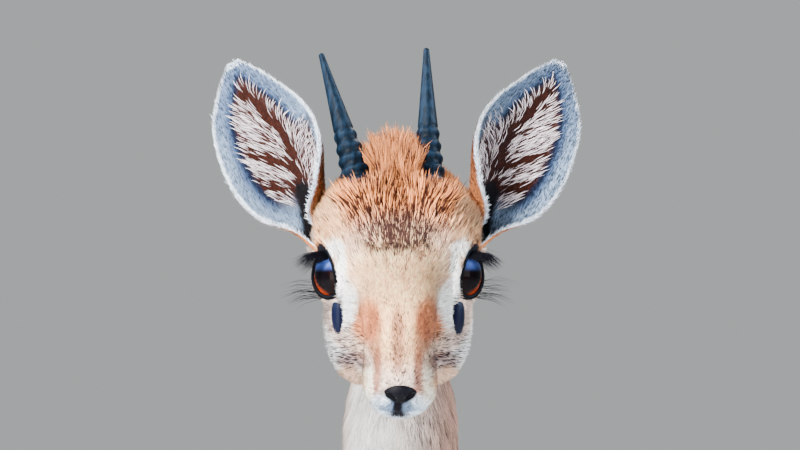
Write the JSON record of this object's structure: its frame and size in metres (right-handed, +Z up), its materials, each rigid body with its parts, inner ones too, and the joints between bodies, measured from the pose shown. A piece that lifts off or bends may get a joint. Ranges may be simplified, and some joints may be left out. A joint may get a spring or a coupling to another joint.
{
  "type": "standing dik-dik",
  "caption": "Small male antelope standing still and alert, facing forward, with short ringed horns, cupped leaf-shaped ears, large dark eyes, a narrow muzzle and slim legs.",
  "frame": {"origin": "on the floor, at the middle of the bounding box's underside", "axes": "+Z up; the animal looks along -Y; +X is to its own left"},
  "size_m": [0.1366, 0.4482, 0.5896],
  "materials": {
    "coat": "short tawny and grizzled grey hair, white round the eyes, muzzle and belly",
    "bare_skin": "moist black bare skin",
    "eye": "wet, glossy, almost black with a brown iris",
    "horn": "dark slate horn, ringed near the base, smooth at the tip",
    "hoof": "dark satin horn"
  },
  "bodies": {
    "root": {"head": "coat", "nose_pad": "bare_skin", "neck": "coat", "torso": "coat", "tail": "coat", "eye_left": "eye", "gland_left": "bare_skin", "horn_left": "horn", "ear_left": "coat", "eye_right": "eye", "gland_right": "bare_skin", "horn_right": "horn", "ear_right": "coat", "fore_left_forearm": "coat", "fore_left_cannon": "coat", "fore_left_hoof_inner": "hoof", "fore_left_hoof_outer": "hoof", "fore_left_dewclaw_inner": "hoof", "fore_left_dewclaw_outer": "hoof", "fore_right_forearm": "coat", "fore_right_cannon": "coat", "fore_right_hoof_inner": "hoof", "fore_right_hoof_outer": "hoof", "fore_right_dewclaw_inner": "hoof", "fore_right_dewclaw_outer": "hoof", "hind_left_thigh": "coat", "hind_left_cannon": "coat", "hind_left_hoof_inner": "hoof", "hind_left_hoof_outer": "hoof", "hind_left_dewclaw_inner": "hoof", "hind_left_dewclaw_outer": "hoof", "hind_right_thigh": "coat", "hind_right_cannon": "coat", "hind_right_hoof_inner": "hoof", "hind_right_hoof_outer": "hoof", "hind_right_dewclaw_inner": "hoof", "hind_right_dewclaw_outer": "hoof"}
  },
  "joints": []
}
